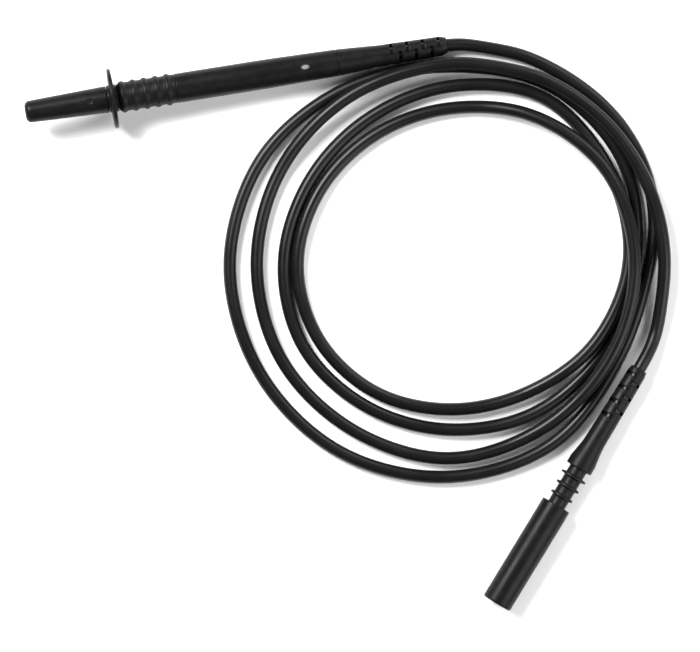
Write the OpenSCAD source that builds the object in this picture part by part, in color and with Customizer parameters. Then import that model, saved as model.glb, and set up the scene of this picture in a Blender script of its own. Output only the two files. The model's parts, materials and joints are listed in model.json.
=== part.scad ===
// Test lead: a pencil probe with a finger guard, a coiled cord and a sheathed 4 mm plug.
// Millimetres. Everything lies on the plane Z = 0. The probe runs along X with its nose towards -X.
// The probe's own pieces are drawn along s, measured from the closed end of the tip cover.
// The plug's own pieces are drawn along u, measured from the mouth of the sheath.

/* [Tip cover and needle] */
// Length of the pull-off tip cover
cover_len = 24.4; // [20:0.1:32]
// Radius of the tip cover at its closed end
cover_tip_r = 3.2; // [3.1:0.05:4]
// Radius of the tip cover at its open end, and of the guard's hub
cover_root_r = 3.95; // [3.6:0.05:4.6]
// Rounding of the closed end's edge
cover_round = 1.3; // [0.5:0.1:2]
// Wall at the closed end of the tip cover
cover_end_wall = 2; // [1:0.1:4]
// Radius of the needle
needle_r = 1; // [0.7:0.05:1.2]
// Length of the needle's point
needle_point_len = 4; // [2:0.5:6]
// Free space ahead of the needle inside the cover
needle_tip_gap = 1; // [0.5:0.1:3]
// Depth of the needle in the contact stem
needle_grip_len = 7; // [4:0.5:10]
// Radius of the contact stem
stem_r = 1.5; // [1.4:0.05:1.8]
// Length of the contact stem
stem_len = 23; // [18:0.5:28]
// Depth of the solder cup at the stem's rear
cup_depth = 5; // [3:0.5:7]

/* [Nose core and finger guard] */
// Radius of the nose core inside the cover
core_r = 2.55; // [2.3:0.05:2.7]
// Length of the nose core inside the cover
core_nose_len = 10; // [6:0.5:12]
// Length of the nose core's lip ahead of the contact stem
core_lip_len = 4; // [2:0.5:5]
// Length of the nose core inside the barrel
core_tail_len = 6; // [4:0.5:10]
// Radius of the finger guard
guard_r = 8.9; // [7:0.1:12]
// Thickness of the guard's disc
guard_t = 1.2; // [0.6:0.1:1.6]
// Length of the guard's hub
hub_len = 3; // [2.6:0.1:5]
// Fillet between the disc and the hub
guard_fillet = 0.8; // [0.3:0.1:0.9]

/* [Handle] */
// Length of the barrel
barrel_len = 65.6; // [55:0.1:90]
// Wall of the barrel behind the grip
barrel_wall = 1.59; // [1.3:0.01:2.2]
// Wall of the barrel at its rear end
barrel_rear_wall = 1.2; // [0.8:0.05:1.5]
// Length of the barrel's tapered rear part
barrel_taper_len = 22; // [10:0.5:30]
// Radius of the barrel's bore
bore_r = 2.75; // [2.7:0.05:3]
// Wall of the barrel's spigot under the grip
spigot_wall = 0.65; // [0.5:0.05:0.9]
// Length of the grip sleeve
grip_len = 17.1; // [16.8:0.1:24]
// Wall of the grip between its ribs
grip_wall = 0.8; // [0.5:0.05:1.3]
// Wall of the grip at its front end
grip_front_wall = 0.3; // [0.2:0.05:0.5]
// Number of ribs
rib_count = 5; // [3:1:5]
// Distance from rib to rib
rib_pitch = 3.35; // [2.8:0.05:3.35]
// Height of a rib
rib_h = 0.45; // [0.2:0.05:0.8]
// Distance from the front of the grip to its first rib
rib_first = 1.5; // [1.3:0.1:2]

/* [Cord] */
// Diameter of the cord
cord_d = 3.85; // [3.2:0.05:4]
// Radius of the bare conductor
wire_r = 0.6; // [0.4:0.05:0.8]
// Length of bare conductor between the solder cup and the jacket
wire_len = 5; // [3:0.5:8]
// Length of the insulating sleeve over the joint
joint_sleeve_len = 7; // [5:0.5:9]
// Wall of the insulating sleeve
joint_sleeve_wall = 0.45; // [0.3:0.05:0.6]
// Length of the ring crimped on the jacket, in the probe and in the plug
clamp_len = 3; // [2:0.5:4]

/* [Strain reliefs] */
// Length of the probe's boot behind the barrel
boot_len = 32.6; // [30:0.1:40]
// Length of the boot's spigot inside the barrel
boot_spigot_len = 12; // [8:0.5:16]
// Wall of the probe's boot around the cord, where its slots begin
boot_slot_wall = 1.225; // [1:0.025:1.5]
// Wall of the boot at its last slot
boot_last_wall = 0.975; // [0.8:0.025:1.2]
// Wall of the boot's end
boot_end_wall = 0.425; // [0.3:0.025:0.7]
// Number of slots in each strain relief
slot_count = 7; // [4:1:7]
// Distance from slot to slot
slot_pitch = 2.35; // [2:0.05:2.4]
// Width of a slot
slot_w = 0.95; // [0.6:0.05:1.2]
// Thickness of the two webs that each slot leaves, at the last slot
web_wall = 0.5; // [0.4:0.05:0.6]
// Plain length behind the last slot
relief_tail = 2.4; // [1.5:0.1:4]

/* [Plug sheath] */
// Length of the sheath
sheath_len = 34; // [30:0.1:38]
// Radius of the sheath
sheath_r = 4.5; // [4.4:0.05:5]
// Rounding of the sheath's ends
sheath_round = 0.6; // [0.2:0.05:0.6]
// Wall of the sheath around its mouth
mouth_wall = 1.1; // [0.9:0.05:1.4]
// Depth of the mouth, down to the ring
mouth_depth = 20.7; // [20:0.1:23]
// Wall of the sheath behind the ring
skirt_wall = 0.6; // [0.6:0.05:0.8]
// Thickness of the ring that the spring pushes on
ring_t = 1.5; // [1:0.1:2]
// Radius of the spring's wire
spring_wire_r = 0.2; // [0.15:0.01:0.22]
// Number of turns of the spring
spring_turns = 10; // [6:1:12]
// Depth of the spring's seat inside the neck
spring_seat_depth = 5; // [4:0.1:7]

/* [Plug contact] */
// Radius of the contact pin
pin_r = 2; // [1.9:0.05:2.1]
// Distance of the pin's tip behind the sheath's mouth
pin_recess = 1.5; // [0.5:0.1:3]
// Length of the pin's rounded head
head_len = 1.8; // [1.2:0.1:2.4]
// Length of the shoulder behind the contact cage
shoulder_len = 1.4; // [1:0.1:2]
// Wall of the contact cage
cage_wall = 0.25; // [0.15:0.05:0.4]
// Width of the bands at the cage's ends and middle
cage_band = 1.6; // [1:0.1:2]
// Number of leaves in each of the cage's two rows
leaf_count = 6; // [4:1:8]
// Width of the gap between two leaves
leaf_gap = 0.4; // [0.2:0.05:0.5]
// Radius of the pin's shank
shank_r = 1.45; // [1.3:0.05:1.5]
// Radius of the pin's crimp tail
tail_r = 1.1; // [0.9:0.05:1.2]
// Length of the pin's crimp tail
tail_len = 3; // [2:0.5:4]

/* [Plug body] */
// Length of the neck between the sheath and the body
neck_len = 12.5; // [11.5:0.1:16]
// Radius of the neck
neck_r = 2.75; // [2.7:0.05:3]
// Depth of the neck inside the sheath
neck_lap = 0.7; // [0.3:0.1:0.9]
// Distance from the sheath to the first fin
fin_first = 3; // [2:0.1:3.2]
// Distance from fin to fin
fin_pitch = 3.35; // [3:0.05:3.5]
// Thickness of a fin
fin_t = 0.6; // [0.4:0.05:0.8]
// Gap between the sheath and the first fin, which passes into it
first_fin_gap = 0.3; // [0.2:0.02:0.5]
// Gap between the sheath and the second fin, which passes into it
second_fin_gap = 0.16; // [0.15:0.01:0.3]
// How far the third fin stands out past the sheath's bore, which it stops
stop_fin_lap = 0.15; // [0.1:0.05:0.5]
// Depth of the neck's spigot in the body
neck_spigot_len = 5; // [4:0.5:8]
// Radius of the neck's spigot
neck_spigot_r = 2.95; // [2.8:0.05:3.1]
// Radius of the body's front shoulder
body_r = 4.1; // [3.9:0.05:4.4]
// Length of the body, from the shoulder to its end
body_len = 34.5; // [34:0.1:44]
// Length of the body's full shoulder
body_shoulder_len = 2.5; // [1:0.1:4]
// Distance from the body's front to its waist
body_waist_len = 8; // [6:0.5:12]
// Wall of the body around its cavity, at its waist
body_waist_wall = 0.7; // [0.5:0.05:1]
// Wall of the body around the cord, where its slots begin
body_slot_wall = 1.125; // [1:0.025:1.5]
// Wall of the body at its last slot
body_last_wall = 0.875; // [0.7:0.025:1.1]
// Wall of the body's end
body_end_wall = 0.575; // [0.4:0.025:0.8]
// Radius of the cavity behind the neck
cavity_r = 2.5; // [2.4:0.05:2.6]
// Free length of the cavity behind the crimped ring
cavity_spare = 1.3; // [0.5:0.1:2.5]
// Length of the crimp sleeve
crimp_len = 6; // [5:0.5:7]
// Wall of the crimp sleeve
crimp_wall = 0.45; // [0.3:0.05:0.6]

/* [Hidden] */
$fn = 96;

// Radial gap between pieces that are fixed in each other
fit_gap = 0.05;
// Radial gap of the tip cover on the nose core
cover_gap = 0.05;
// Radial gap of the moving ring on the pin's shank
ring_gap = 0.2;
// Gap between end faces of neighbouring pieces
seam = 0.1;
// Gap between the spring and the shank inside it
spring_shank_gap = 0.22;
// Gap between the spring and the bore around it
spring_bore_gap = 0.13;
// Gap between the plug's crimp sleeve and the cord's jacket
jacket_gap = 1;
// Step in of the tip cover's bore ahead of the nose core, and the bore's spare length there
cover_bore_step = 0.3;
cover_bore_spare = 1;
// Radius of the needle's point
needle_tip_r = 0.08;
// Length of the grip's tapered front, and of its flare up to the barrel
grip_ramp_len = 0.8;
grip_flare_len = 0.4;
// Chamfer of the barrel's front edge
barrel_edge_in = 0.1;
barrel_edge_len = 0.3;
// Even stretch of the probe's boot ahead of its first slot
boot_slot_lead = 3;
// Turn of a strain relief's first slot about the cord
first_slot_turn = 45;
cord_r = cord_d / 2;
// How far a cut reaches past what it cuts
over = 1;
// Overlap of shapes that are joined
eps = 0.01;

// Radii along the handle
barrel_r = bore_r + barrel_wall;
barrel_rear_r = bore_r + barrel_rear_wall;
spigot_r = bore_r + spigot_wall;
grip_inner_r = spigot_r + fit_gap;
grip_r = grip_inner_r + grip_wall;
boot_slot_r = cord_r + boot_slot_wall;
boot_last_r = cord_r + boot_last_wall;
boot_end_r = cord_r + boot_end_wall;

// Stations along the probe
guard_s = cover_len + seam;
barrel_s = guard_s + hub_len + seam;
grip_s = barrel_s;
boot_s = barrel_s + barrel_len + seam;
probe_len = boot_s + boot_len;
core_front_s = cover_len - core_nose_len;
stem_front_s = core_front_s + core_lip_len;
stem_end_s = stem_front_s + stem_len;
needle_front_s = cover_end_wall + needle_tip_gap;
needle_end_s = stem_front_s + needle_grip_len;
wire_front_s = stem_end_s - cup_depth;
jacket_s = stem_end_s + wire_len;
clamp_s = boot_s - boot_spigot_len - seam - clamp_len;
boot_last_slot_s = probe_len - relief_tail;
boot_first_slot_s = boot_last_slot_s - (slot_count - 1) * slot_pitch;

// The probe rests on the rim of its guard and on the last slotted ring of its boot
rest_guard_s = guard_s + hub_len / 2;
rest_boot_s = boot_last_slot_s - slot_pitch / 2;
rest_boot_r = boot_last_r + (boot_slot_r - boot_last_r) / (2 * (slot_count - 1));
probe_tilt = atan((guard_r - rest_boot_r) / (rest_boot_s - rest_guard_s));
probe_x = -probe_len * cos(probe_tilt) / 2;
probe_z = guard_r * cos(probe_tilt) + rest_guard_s * sin(probe_tilt);

// Radii along the plug, with those of the three fins
mouth_r = sheath_r - mouth_wall;
skirt_r = sheath_r - skirt_wall;
fin_radii = [skirt_r - first_fin_gap, skirt_r - second_fin_gap, skirt_r + stop_fin_lap];
body_slot_r = cord_r + body_slot_wall;
body_last_r = cord_r + body_last_wall;
body_end_r = cord_r + body_end_wall;
body_waist_r = cavity_r + body_waist_wall;

// Stations along the plug
ring_u = mouth_depth;
neck_front_u = sheath_len - neck_lap;
body_u = sheath_len + neck_len;
plug_len = body_u + body_len;
spring_u = ring_u + ring_t + fit_gap;
spring_seat_u = neck_front_u + spring_seat_depth;
spring_len = spring_seat_u - fit_gap - spring_u;
spring_mean_r = shank_r + spring_shank_gap + spring_wire_r;
spring_bore_r = spring_mean_r + spring_wire_r + spring_bore_gap;
shoulder_u = ring_u - seam - shoulder_len;
cage_u = pin_recess + head_len;
pin_end_u = body_u + neck_spigot_len;
tail_end_u = pin_end_u + tail_len;
crimp_u = pin_end_u + seam;
crimp_end_u = crimp_u + crimp_len;
plug_jacket_u = crimp_end_u + jacket_gap;
plug_clamp_u = plug_jacket_u + seam;
cavity_end_u = plug_clamp_u + clamp_len + cavity_spare;
body_last_slot_u = plug_len - relief_tail;
body_first_slot_u = body_last_slot_u - (slot_count - 1) * slot_pitch;

// The plug's cord end on the floor plan, its direction, and the height of its axis
plug_exit = [103.5, -103.5];
plug_turn = 49.4;
plug_z = sheath_r;

// Floor plan of the coil: an annulus one cord high that lies beside the probe, with raised
// parts where its turns cross.
// Each raised part has its height in cords, and its first and last angle.
coil_centre = [50, -67];
coil_outer_r = 62.5;
coil_inner_r = 40.5;
crossing_inner_r = 50;
crossings = [[2, -60, 64], [3, -45, 35]];
crossing_step = 0.3;
coil_clearance = 0.4;
plug_room_len = 50.6;

// Routes of the two free stretches, through the centre of the cord
straight_out = 3;
probe_exit = [
    probe_x + probe_len * cos(probe_tilt), 0, probe_z - probe_len * sin(probe_tilt)
];
plug_exit_point = [plug_exit[0], plug_exit[1], plug_z];
probe_route = [
    probe_exit,
    probe_exit + straight_out * [cos(probe_tilt), 0, -sin(probe_tilt)],
    [74, -2.5, 2],
    [84.5, -6.5, 2],
    [94, -13, 2],
    [102.5, -21, 2],
    [109, -30, 2],
    [113.5, -40.5, 2],
    [115.5, -51.5, 2],
    [115, -62.5, 2],
    [112, -73, 2]
];
plug_route = [
    [82, -11, 5.8],
    [91.5, -16, 5.9],
    [99.5, -23, 5.9],
    [106.5, -31.5, 5.8],
    [111.5, -41, 5.8],
    [115, -51.5, 6],
    [116.5, -62.5, 6],
    [116, -73.5, 5.4],
    [113.5, -84, 4.8],
    [109.5, -95.5, 4.5],
    plug_exit_point + straight_out * [cos(plug_turn), sin(plug_turn), 0],
    plug_exit_point
];
tube_sides = 8;
tube_steps = 2;
tube_r = cord_r / cos(180 / tube_sides) - eps;

// A point of the smooth curve through the route, at step k of n after point i
function catmull(a, b, c, d, t) = 0.5 * (
    2 * b + (c - a) * t + (2 * a - 5 * b + 4 * c - d) * t * t + (3 * b - a - 3 * c + d) * t * t * t
);
function pick(route, i) = route[min(max(i, 0), len(route) - 1)];
function smooth_route(route, n) = concat(
    [
        for (i = [0 : len(route) - 2])
            for (k = [0 : n - 1])
                catmull(
                    pick(route, i - 1), pick(route, i), pick(route, i + 1), pick(route, i + 2), k / n
                )
    ],
    [route[len(route) - 1]]
);
function unit(v) = v / norm(v);
function heading(path, i) = unit(pick(path, i + 1) - pick(path, i - 1));

// Rings of points around a path, each square to the path
function rings(path, r, sides) = [
    for (i = [0 : len(path) - 1])
        let (t = heading(path, i), side = unit(cross(t, [0, 0, 1])), up = cross(side, t))
            for (j = [0 : sides - 1])
                path[i] + r * (cos(360 * (j + 0.5) / sides) * side + sin(360 * (j + 0.5) / sides) * up)
];

// Faces of a tube of rings, closed at both ends
function tube_faces(n, sides) = concat(
    [[for (j = [sides - 1 : -1 : 0]) j]],
    [
        for (i = [0 : n - 2])
            for (j = [0 : sides - 1])
                [
                    i * sides + j,
                    i * sides + (j + 1) % sides,
                    (i + 1) * sides + (j + 1) % sides,
                    (i + 1) * sides + j
                ]
    ],
    [[for (j = [0 : sides - 1]) (n - 1) * sides + j]]
);

module swept_tube(path, r, sides) {
    polyhedron(points = rings(path, r, sides), faces = tube_faces(len(path), sides), convexity = 8);
}

// Puts what is drawn along Z onto the probe's axis
module along_probe() {
    translate([probe_x, 0, probe_z]) rotate([0, 90 + probe_tilt, 0]) children();
}

// Puts what is drawn along Z onto the plug's axis, with its far end at the plug's exit
module along_plug() {
    translate(plug_exit_point) rotate([0, 90, plug_turn]) translate([0, 0, -plug_len]) children();
}

// A length of round bar or tube between two stations
module bar(from, to, r) {
    translate([0, 0, from]) cylinder(r = r, h = to - from);
}

module tube(from, to, outer, inner) {
    difference() {
        bar(from, to, outer);
        bar(from - over, to + over, inner);
    }
}

// The turned body of a strain relief, through the given radii and stations, turned in at its end
module relief_profile(points, end_at, end_r) {
    rotate_extrude() polygon(concat([[0, points[0][1]]], points, [[end_r, end_at], [0, end_at]]));
}

// Slots right through a strain relief, each a quarter turn from the one before
module relief_slots(first, last_r) {
    for (i = [0 : slot_count - 1])
        translate([0, 0, first + i * slot_pitch])
            rotate([0, 0, first_slot_turn + 90 * (i % 2)])
                cube([2 * (last_r - web_wall), 4 * body_r, slot_w], center = true);
}

module tip_cover() {
    color([0.14, 0.14, 0.14]) along_probe() difference() {
        rotate_extrude() union() {
            polygon([
                [0, 0],
                [cover_tip_r - cover_round, 0],
                [cover_tip_r, cover_round],
                [cover_root_r, cover_len],
                [0, cover_len]
            ]);
            translate([cover_tip_r - cover_round, cover_round]) circle(r = cover_round);
        }
        bar(core_front_s - cover_bore_spare, cover_len + over, core_r + cover_gap);
        bar(cover_end_wall, core_front_s, core_r + cover_gap - cover_bore_step);
    }
}

module tip_needle() {
    color([0.75, 0.76, 0.78]) along_probe() {
        translate([0, 0, needle_front_s])
            cylinder(r1 = needle_tip_r, r2 = needle_r, h = needle_point_len);
        bar(needle_front_s + needle_point_len, needle_end_s, needle_r);
    }
}

module contact_stem() {
    color([0.8, 0.72, 0.5]) along_probe() difference() {
        bar(stem_front_s + seam, stem_end_s, stem_r);
        bar(stem_front_s, needle_end_s + seam, needle_r + fit_gap / 2);
        bar(wire_front_s, stem_end_s + over, wire_r + fit_gap);
    }
}

module nose_core() {
    color([0.2, 0.2, 0.2]) along_probe() difference() {
        union() {
            bar(core_front_s, barrel_s + seam, core_r);
            bar(barrel_s + seam, barrel_s + core_tail_len, bore_r - fit_gap);
        }
        bar(core_front_s - over, stem_front_s + over, needle_r + fit_gap);
        bar(stem_front_s, barrel_s + core_tail_len + over, stem_r + fit_gap);
    }
}

module guard_section() {
    mid = hub_len / 2;
    inner = core_r + fit_gap;
    fillet = min(guard_fillet, (hub_len - guard_t) / 2 - fit_gap);
    translate([inner, 0]) square([cover_root_r - inner, hub_len]);
    translate([inner, mid - guard_t / 2]) square([guard_r - guard_t / 2 - inner, guard_t]);
    translate([guard_r - guard_t / 2, mid]) circle(d = guard_t);
    for (side = [0, 1])
        translate([0, mid]) mirror([0, side]) translate([cover_root_r, guard_t / 2]) difference() {
            translate([-eps, -eps]) square(fillet + eps);
            translate([fillet, fillet]) circle(r = fillet);
        }
}

module finger_guard() {
    color([0.14, 0.14, 0.14]) along_probe() translate([0, 0, guard_s])
        rotate_extrude() guard_section();
}

module grip_sleeve() {
    color([0.12, 0.12, 0.12]) along_probe() translate([0, 0, grip_s]) rotate_extrude() {
        polygon([
            [grip_inner_r, 0],
            [grip_inner_r + grip_front_wall, 0],
            [grip_r, grip_ramp_len],
            [grip_r, grip_len - grip_flare_len],
            [max(barrel_r, grip_r) - fit_gap, grip_len],
            [grip_inner_r, grip_len]
        ]);
        difference() {
            for (i = [0 : rib_count - 1])
                translate([grip_r + rib_h - rib_pitch / 4, rib_first + i * rib_pitch])
                    circle(r = rib_pitch / 4);
            square([grip_inner_r, grip_len]);
        }
    }
}

module handle_barrel() {
    full_s = grip_len + seam;
    color([0.14, 0.14, 0.14]) along_probe() translate([0, 0, barrel_s]) difference() {
        rotate_extrude() polygon([
            [0, seam],
            [spigot_r, seam],
            [spigot_r, full_s],
            [barrel_r - barrel_edge_in, full_s],
            [barrel_r, full_s + barrel_edge_len],
            [barrel_r, barrel_len - barrel_taper_len],
            [barrel_rear_r, barrel_len],
            [0, barrel_len]
        ]);
        bar(-over, barrel_len + over, bore_r);
    }
}

module solder_sleeve() {
    color([0.85, 0.85, 0.82]) along_probe()
        tube(
            jacket_s - seam - joint_sleeve_len, jacket_s - seam,
            stem_r + fit_gap + joint_sleeve_wall, stem_r + fit_gap
        );
}

module probe_wire_end() {
    color([0.8, 0.5, 0.3]) along_probe() bar(wire_front_s + seam, jacket_s - fit_gap, wire_r);
}

module probe_cord_end() {
    color([0.1, 0.1, 0.1]) along_probe() bar(jacket_s, probe_len, cord_r);
}

module probe_cord_clamp() {
    color([0.75, 0.7, 0.55]) along_probe()
        tube(clamp_s, clamp_s + clamp_len, bore_r - fit_gap, cord_r + fit_gap);
}

module rear_boot() {
    color([0.1, 0.1, 0.1]) along_probe() difference() {
        union() {
            bar(boot_s - boot_spigot_len, boot_s + eps, bore_r - fit_gap);
            relief_profile(
                [
                    [barrel_rear_r, boot_s],
                    [boot_slot_r, boot_first_slot_s - boot_slot_lead],
                    [boot_slot_r, boot_first_slot_s],
                    [boot_last_r, boot_last_slot_s + slot_w / 2]
                ],
                probe_len, boot_end_r
            );
        }
        bar(boot_s - boot_spigot_len - over, probe_len + over, cord_r + fit_gap);
        relief_slots(boot_first_slot_s, boot_last_r);
    }
}

module probe_lead() {
    color([0.1, 0.1, 0.1]) swept_tube(smooth_route(probe_route, tube_steps), tube_r, tube_sides);
}

module plug_lead() {
    color([0.1, 0.1, 0.1]) swept_tube(smooth_route(plug_route, tube_steps), tube_r, tube_sides);
}

// Section of a raised part, from the middle of the cords below it up to its round edges
module raised_section(inner, outer, low, high) {
    translate([inner, low]) square([outer - inner, high - cord_r - low]);
    translate([inner + cord_r, low]) square([outer - inner - cord_d, high - low]);
    for (r = [inner + cord_r, outer - cord_r])
        translate([r, high - cord_r]) circle(r = cord_r);
}

module ring_section() {
    translate([coil_inner_r + cord_r, 0]) square([coil_outer_r - coil_inner_r - cord_d, cord_d]);
    for (r = [coil_inner_r + cord_r, coil_outer_r - cord_r])
        translate([r, cord_r]) circle(r = cord_r);
}

module lead_coil() {
    plug_room = body_r + coil_clearance;
    color([0.1, 0.1, 0.1]) difference() {
        translate([coil_centre[0], coil_centre[1], 0]) {
            rotate_extrude() ring_section();
            for (part = crossings) {
                inset = (part[0] - 1) * crossing_step;
                rotate([0, 0, part[1]]) rotate_extrude(angle = part[2] - part[1])
                    raised_section(
                        crossing_inner_r + inset, coil_outer_r - inset,
                        (part[0] - 1) * cord_d - cord_r, part[0] * cord_d
                    );
            }
        }
        along_plug() translate([-4 * body_r, -plug_room, plug_len - plug_room_len])
            cube([8 * body_r, 2 * plug_room, plug_room_len]);
    }
}

module plug_sheath() {
    color([0.14, 0.14, 0.14]) along_plug() difference() {
        rotate_extrude() union() {
            translate([0, 0]) square([sheath_r - sheath_round, sheath_len]);
            translate([0, sheath_round]) square([sheath_r, sheath_len - 2 * sheath_round]);
            for (u = [sheath_round, sheath_len - sheath_round])
                translate([sheath_r - sheath_round, u]) circle(r = sheath_round);
        }
        bar(-over, mouth_depth + over, mouth_r);
        bar(mouth_depth, sheath_len + over, skirt_r);
    }
}

module sheath_ring() {
    color([0.2, 0.2, 0.2]) along_plug()
        tube(ring_u + fit_gap, ring_u + ring_t, skirt_r - fit_gap, shank_r + ring_gap);
}

function spring_path(turns, per_turn, r, from, length) = [
    for (i = [0 : turns * per_turn])
        let (a = 360 * i / per_turn)
            [r * cos(a), r * sin(a), from + length * i / (turns * per_turn)]
];

module sheath_spring() {
    color([0.7, 0.71, 0.73]) along_plug()
        swept_tube(
            spring_path(
                spring_turns, 16, spring_mean_r,
                spring_u + spring_wire_r, spring_len - 2 * spring_wire_r
            ),
            spring_wire_r, 6
        );
}

module plug_pin() {
    core = pin_r - cage_wall - fit_gap;
    color([0.8, 0.8, 0.78]) along_plug() union() {
        bar(pin_recess + head_len / 2, cage_u, pin_r);
        translate([0, 0, pin_recess])
            cylinder(r1 = pin_r / 2, r2 = pin_r, h = head_len / 2);
        bar(cage_u - eps, shoulder_u + eps, core);
        bar(shoulder_u, shoulder_u + shoulder_len, pin_r);
        bar(shoulder_u + shoulder_len - eps, pin_end_u, shank_r);
        bar(pin_end_u - eps, tail_end_u, tail_r);
    }
}

module contact_cage() {
    from = cage_u + fit_gap;
    to = shoulder_u - fit_gap;
    leaf_len = (to - from - 3 * cage_band) / 2;
    color([0.82, 0.74, 0.5]) along_plug() difference() {
        tube(from, to, pin_r, pin_r - cage_wall);
        for (row = [0, 1])
            for (i = [0 : leaf_count - 1])
                rotate([0, 0, 360 * i / leaf_count])
                    translate([0, -leaf_gap / 2, from + cage_band + row * (leaf_len + cage_band)])
                        cube([2 * pin_r, leaf_gap, leaf_len]);
    }
}

module plug_neck() {
    color([0.16, 0.16, 0.16]) along_plug() difference() {
        union() {
            bar(neck_front_u, body_u - seam, neck_r);
            bar(body_u - seam - eps, pin_end_u, neck_spigot_r);
            for (i = [0 : len(fin_radii) - 1])
                translate([0, 0, sheath_len + fin_first + i * fin_pitch])
                    cylinder(r = fin_radii[i], h = fin_t, center = true);
        }
        bar(neck_front_u - over, spring_seat_u, spring_bore_r);
        bar(spring_seat_u - over, pin_end_u + over, shank_r + fit_gap);
    }
}

module plug_crimp() {
    color([0.78, 0.72, 0.55]) along_plug()
        tube(crimp_u, crimp_end_u, tail_r + fit_gap + crimp_wall, tail_r + fit_gap);
}

module plug_wire_end() {
    color([0.8, 0.5, 0.3]) along_plug() bar(tail_end_u + seam, plug_jacket_u - fit_gap, wire_r);
}

module plug_cord_end() {
    color([0.1, 0.1, 0.1]) along_plug() bar(plug_jacket_u, plug_len, cord_r);
}

module plug_cord_clamp() {
    color([0.75, 0.7, 0.55]) along_plug()
        tube(plug_clamp_u, plug_clamp_u + clamp_len, cavity_r - fit_gap, cord_r + fit_gap);
}

module plug_body() {
    color([0.1, 0.1, 0.1]) along_plug() difference() {
        relief_profile(
            [
                [body_r, body_u],
                [body_r, body_u + body_shoulder_len],
                [body_waist_r, body_u + body_waist_len],
                [body_slot_r, body_first_slot_u - slot_pitch / 2],
                [body_last_r, body_last_slot_u + slot_w / 2]
            ],
            plug_len, body_end_r
        );
        bar(body_u - over, pin_end_u + seam, neck_spigot_r + fit_gap);
        bar(pin_end_u, cavity_end_u, cavity_r);
        bar(cavity_end_u - over, plug_len + over, cord_r + fit_gap);
        relief_slots(body_first_slot_u, body_last_r);
    }
}

tip_cover();
tip_needle();
contact_stem();
nose_core();
finger_guard();
grip_sleeve();
handle_barrel();
solder_sleeve();
probe_wire_end();
probe_cord_end();
probe_cord_clamp();
rear_boot();
probe_lead();
lead_coil();
plug_lead();
plug_sheath();
sheath_ring();
sheath_spring();
plug_pin();
contact_cage();
plug_neck();
plug_crimp();
plug_wire_end();
plug_cord_end();
plug_cord_clamp();
plug_body();
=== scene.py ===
import cmath
import json
import math

import bpy
import numpy as np
from bpy.props import FloatProperty, FloatVectorProperty, IntProperty, PointerProperty
from mathutils import Matrix, Vector


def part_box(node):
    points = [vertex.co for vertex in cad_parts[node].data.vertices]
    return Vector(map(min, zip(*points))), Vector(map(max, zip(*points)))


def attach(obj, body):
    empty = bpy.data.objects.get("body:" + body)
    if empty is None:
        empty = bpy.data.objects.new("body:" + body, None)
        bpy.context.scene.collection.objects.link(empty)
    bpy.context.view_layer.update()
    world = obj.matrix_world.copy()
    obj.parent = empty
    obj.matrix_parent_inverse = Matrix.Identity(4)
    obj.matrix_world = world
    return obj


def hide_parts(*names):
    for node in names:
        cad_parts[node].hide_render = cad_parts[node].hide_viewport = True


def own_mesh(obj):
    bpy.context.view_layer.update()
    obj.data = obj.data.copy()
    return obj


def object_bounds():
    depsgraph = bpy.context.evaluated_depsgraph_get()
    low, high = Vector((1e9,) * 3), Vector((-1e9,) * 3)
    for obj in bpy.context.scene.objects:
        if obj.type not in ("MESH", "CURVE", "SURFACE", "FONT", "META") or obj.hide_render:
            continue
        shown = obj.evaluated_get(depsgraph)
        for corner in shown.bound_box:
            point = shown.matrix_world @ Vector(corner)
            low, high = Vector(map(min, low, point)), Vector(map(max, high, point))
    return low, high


bl_info = {
    "name": "Test lead",
    "version": (1, 0, 0),
    "blender": (4, 5, 0),
    "location": "3D View > Sidebar > Test lead",
    "description": "Builds the outside of a pencil test probe, its coiled cord and its sheathed plug",
    "category": "Add Mesh",
}

MM = 0.001
MAIN_BODY = "probe_and_plug"
# Play round a spigot or a shank, and the gap between two shoulders that meet
FIT = 0.05 * MM
SEAM = 0.1 * MM
# Radii smaller than this are on the axis
ON_AXIS = 1e-7

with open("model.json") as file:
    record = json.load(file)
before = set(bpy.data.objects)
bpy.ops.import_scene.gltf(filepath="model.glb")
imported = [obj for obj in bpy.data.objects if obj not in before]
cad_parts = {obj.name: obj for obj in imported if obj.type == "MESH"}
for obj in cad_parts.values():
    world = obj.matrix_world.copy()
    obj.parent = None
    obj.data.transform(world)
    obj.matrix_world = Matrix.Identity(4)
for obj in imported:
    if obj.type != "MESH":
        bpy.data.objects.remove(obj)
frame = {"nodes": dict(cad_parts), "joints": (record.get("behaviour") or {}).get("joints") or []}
CAD_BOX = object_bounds()


# Shafts: the axes of the probe and of the plug


class Shaft:
    """The axis that a row of turned pieces shares. Stations run along it from the row's front end."""

    def __init__(self, along, middle_node, front_node):
        low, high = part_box(middle_node)
        self.along = Vector(along).normalized()
        self.side = Vector((0, 0, 1)).cross(self.along).normalized()
        self.down = self.side.cross(self.along)
        self.start = (low + high) / 2
        self.start += self.along * self.span(front_node)[0]

    def place(self):
        """Carries a piece turned about Z onto the shaft, with its X side down."""
        turn = Matrix((self.down, self.side, self.along)).transposed()
        return Matrix.Translation(self.start) @ turn.to_4x4()

    def span(self, node):
        """First station, last station, least radius and greatest radius of a CAD node."""
        points = np.array([v.co for v in frame["nodes"][node].data.vertices]) - self.start
        stations = points @ self.along
        radii = np.linalg.norm(points - np.outer(stations, self.along), axis=1)
        return tuple(float(v) for v in (stations.min(), stations.max(), radii.min(), radii.max()))


JOINT_AXES = {joint["name"]: Vector(joint["axis"]) for joint in frame["joints"]}
PROBE = Shaft(-JOINT_AXES["cover_pull"], "finger_guard", "tip_cover")
PLUG = Shaft(JOINT_AXES["sheath_slide"], "plug_sheath", "plug_sheath")


# Turned sections and meshes


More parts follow.
